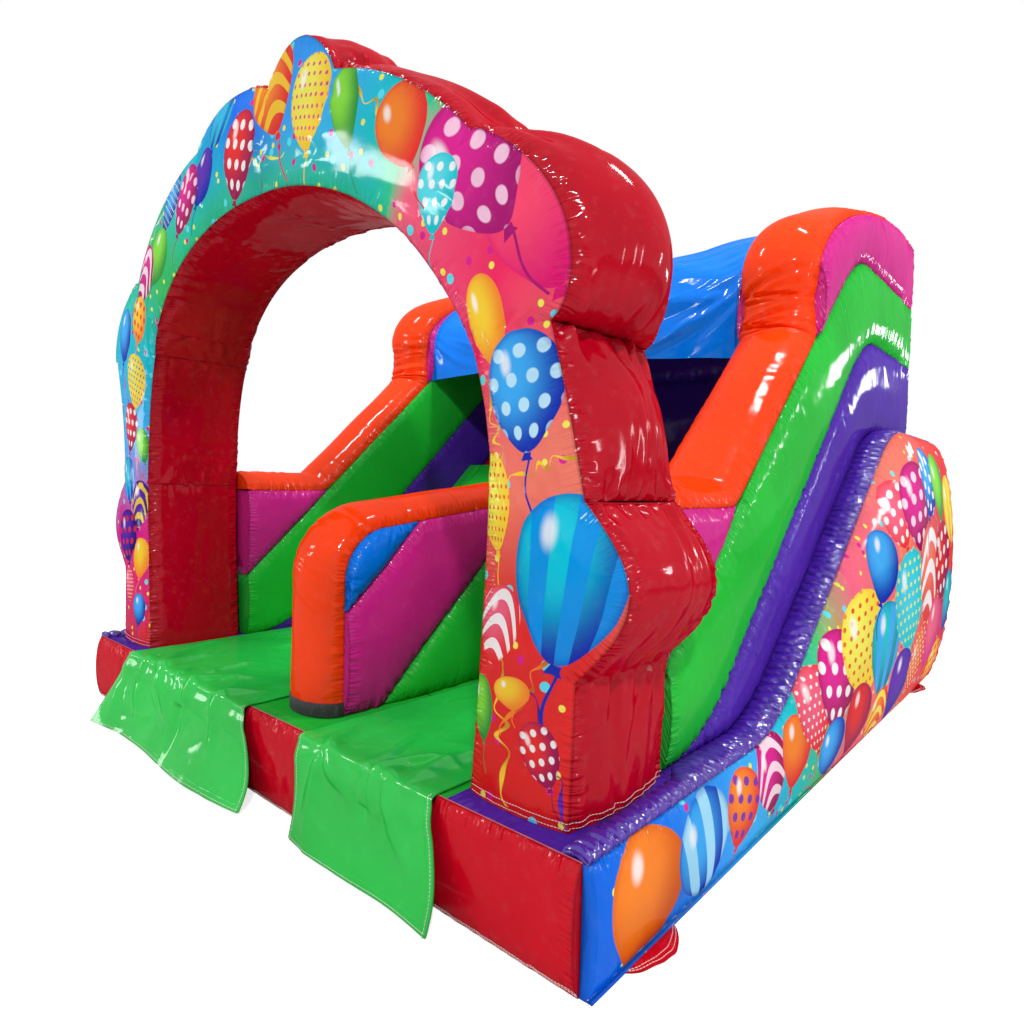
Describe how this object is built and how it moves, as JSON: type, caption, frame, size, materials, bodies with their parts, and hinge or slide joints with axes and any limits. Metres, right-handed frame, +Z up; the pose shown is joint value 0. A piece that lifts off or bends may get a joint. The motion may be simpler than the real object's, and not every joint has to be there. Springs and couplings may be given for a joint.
{
  "type": "inflatable slide",
  "caption": "Inflatable garden slide with a bulging printed entrance arch, a divided entry, a slide lane beside climbing steps, tube side walls and a canopy over the top platform.",
  "frame": {"origin": "centre of the base's underside, on the floor", "axes": "+Z up, -Y out of the entrance arch, +X towards the climbing lane"},
  "size_m": [3.2856, 4.0394, 2.639],
  "materials": {
    "apron_green": "glossy thin coated sheet, bright green",
    "black": "woven black webbing",
    "blue": "glossy thin coated sheet, blue",
    "crimson": "glossy coated fabric, crimson",
    "green": "glossy coated fabric, green",
    "orange": "glossy coated fabric, orange",
    "pink": "glossy coated fabric, magenta",
    "purple": "glossy coated fabric, violet",
    "red": "glossy coated fabric, red",
    "side_print": "glossy coated fabric with a printed party pattern",
    "steel": "plated metal"
  },
  "bodies": {
    "slide_frame": {"air_sleeve": "red", "air_sleeve_strap": "black", "anchor_tab_front_left": "red", "anchor_tab_front_right": "red", "anchor_tab_rear_left": "red", "anchor_tab_rear_right": "red", "arch_blue_lobe": "crimson", "arch_crown_left": "crimson", "arch_crown_right": "crimson", "arch_left_column": "crimson", "arch_left_leg": "crimson", "arch_left_shoulder": "crimson", "arch_orange_lobe": "crimson", "arch_right_column": "crimson", "arch_right_leg": "crimson", "arch_right_shoulder": "crimson", "canopy_sheet": "blue", "climbing_step_1": "purple", "climbing_step_2": "green", "climbing_step_3": "purple", "climbing_step_4": "green", "divider_blue_panel": "blue", "divider_green_panel": "green", "divider_orange_capping": "orange", "divider_pink_panel": "pink", "divider_wear_band": "black", "front_base_beam": "red", "lane_deck": "green", "left_base_side": "side_print", "left_entry_mat": "apron_green", "left_pleated_ledge": "purple", "left_wall_front_pink": "pink", "left_wall_green_tube": "green", "left_wall_orange_capping": "orange", "left_wall_purple_tube": "purple", "left_wall_tower_pink": "pink", "platform": "purple", "rear_wall_green": "green", "rear_wall_orange_capping": "orange", "rear_wall_pink": "pink", "rear_wall_purple": "purple", "right_base_side": "side_print", "right_entry_mat": "apron_green", "right_pleated_ledge": "purple", "right_wall_front_pink": "pink", "right_wall_green_tube": "green", "right_wall_orange_capping": "orange", "right_wall_purple_tube": "purple", "right_wall_tower_pink": "pink", "slide_bed": "green", "zip_tape": "black"},
    "left_flap": {"left_apron_flap": "apron_green"},
    "right_flap": {"right_apron_flap": "apron_green"},
    "zip_pull": {"zip_slider": "steel"},
    "zip_cover": {"zip_cover_flap": "purple"}
  },
  "joints": [
    {"name": "left_apron_hinge", "type": "hinge", "parent": "slide_frame", "child": "left_flap", "pos_m": [-0.4965, -1.7503, 0.3026], "axis": [-1, 0, 0], "range_deg": [0, 150]},
    {"name": "right_apron_hinge", "type": "hinge", "parent": "slide_frame", "child": "right_flap", "pos_m": [0.7165, -1.7503, 0.3026], "axis": [-1, 0, 0], "range_deg": [0, 150]},
    {"name": "zip_slide", "type": "slide", "parent": "slide_frame", "child": "zip_pull", "axis": [1, 0, 0], "range_m": [0, 0.552]},
    {"name": "zip_cover_hinge", "type": "hinge", "parent": "slide_frame", "child": "zip_cover", "pos_m": [-0.45, 1.82045, 0.67], "axis": [1, 0, 0], "range_deg": [0, 150]}
  ]
}
